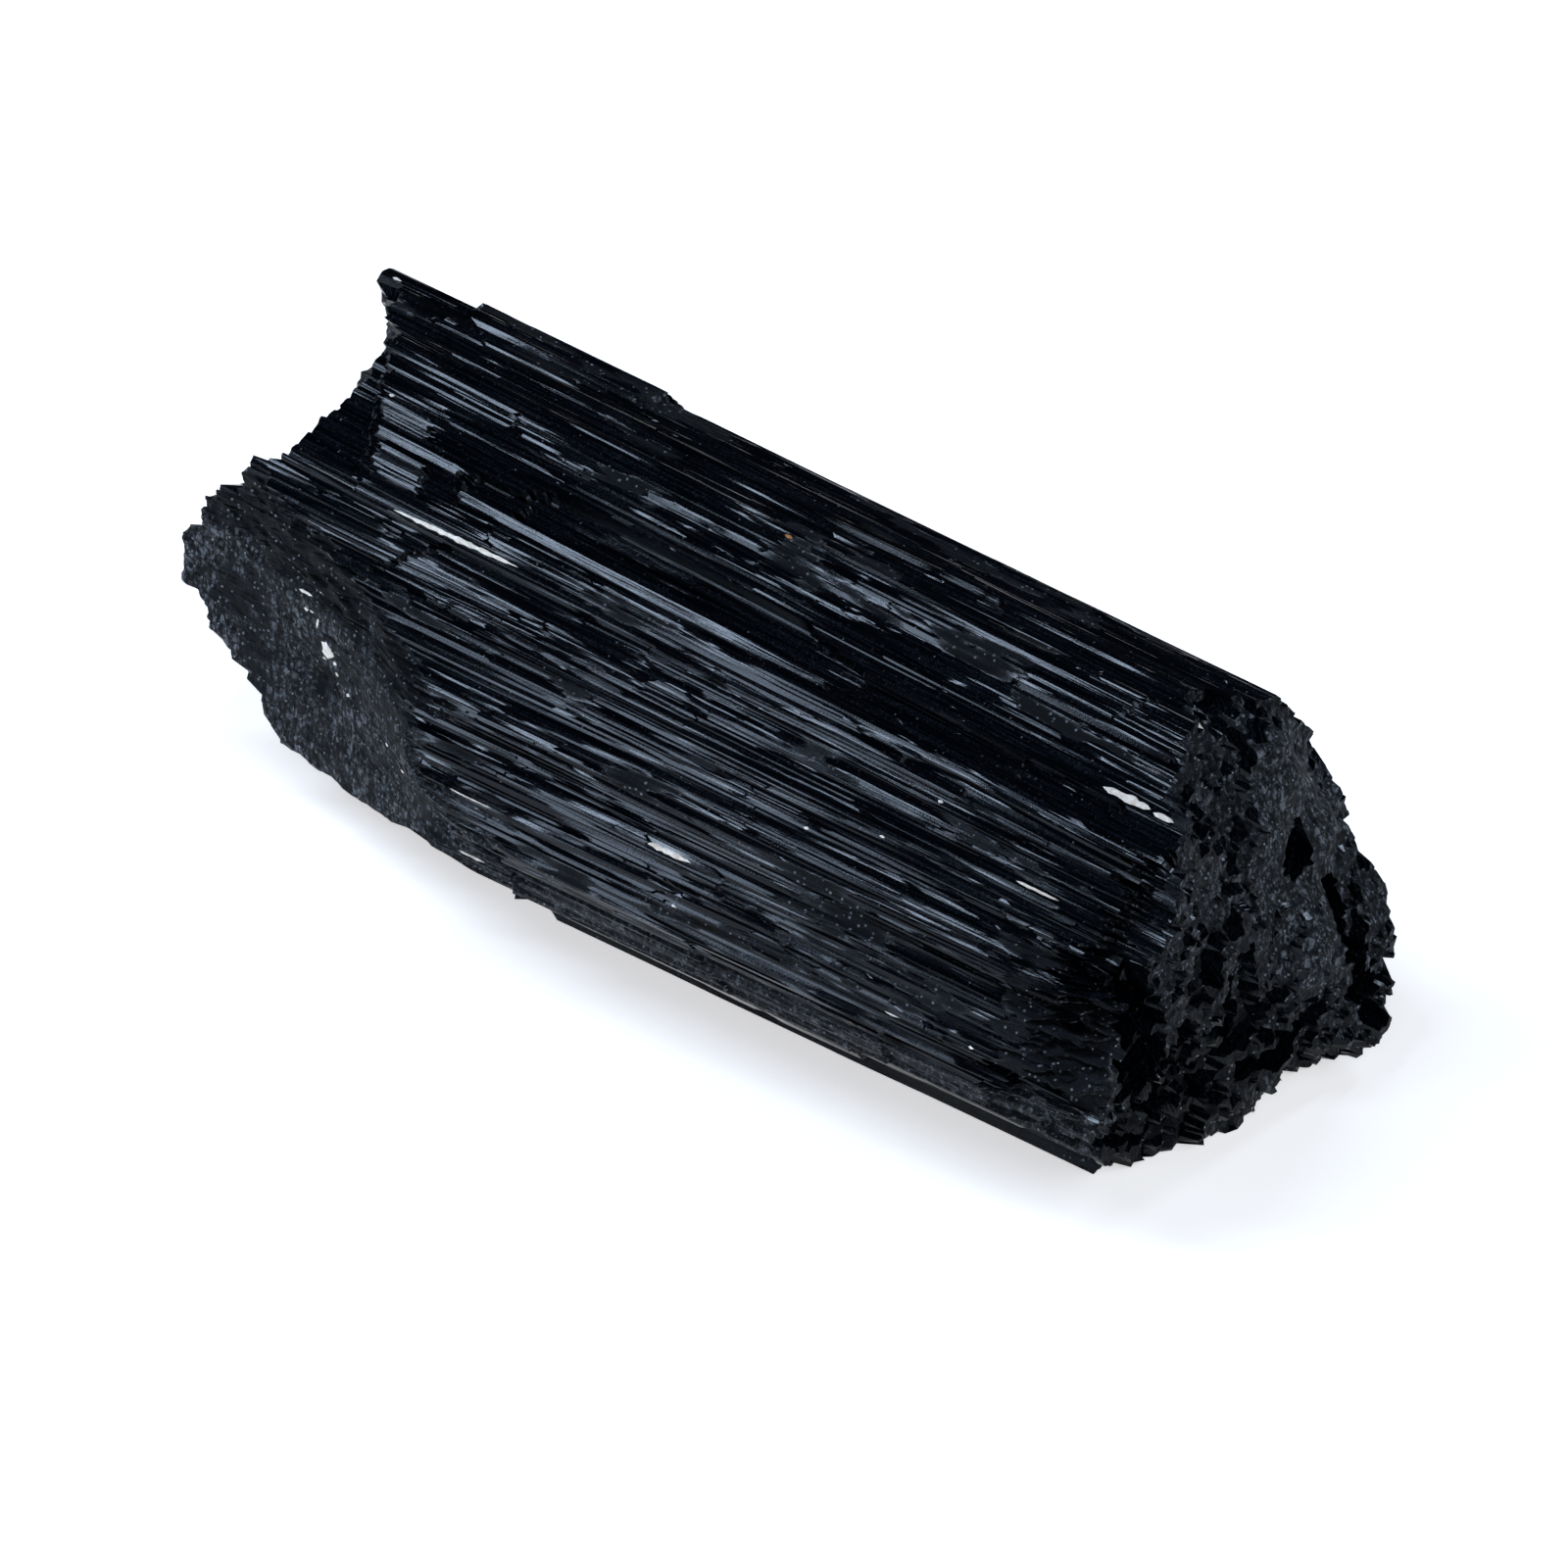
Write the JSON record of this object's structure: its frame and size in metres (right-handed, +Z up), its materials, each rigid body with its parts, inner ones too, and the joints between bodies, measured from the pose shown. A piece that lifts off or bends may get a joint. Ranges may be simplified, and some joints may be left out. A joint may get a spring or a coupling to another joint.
{
  "type": "tourmaline crystal",
  "caption": "Broken prism of black tourmaline lying on a long face, with deep lengthwise striae, a dull cleaved corner and blocky broken ends; a mineral specimen for display.",
  "frame": {"origin": "middle of the footprint of the crystal's box, on the surface that it rests on", "axes": "+X along the crystal towards its blockier broken end, +Z up, the striated near side with the cleaved face towards -Y"},
  "size_m": [0.0757, 0.0304, 0.027],
  "materials": {
    "black_tourmaline": "glassy black on the striated prism faces, dull and granular on the cleaved face and the broken ends",
    "pale_mineral": "cream to white, matt, in thin slivers and grains caught in the grooves between striae"
  },
  "bodies": {
    "root": {"tourmaline_crystal": "black_tourmaline"}
  },
  "joints": []
}
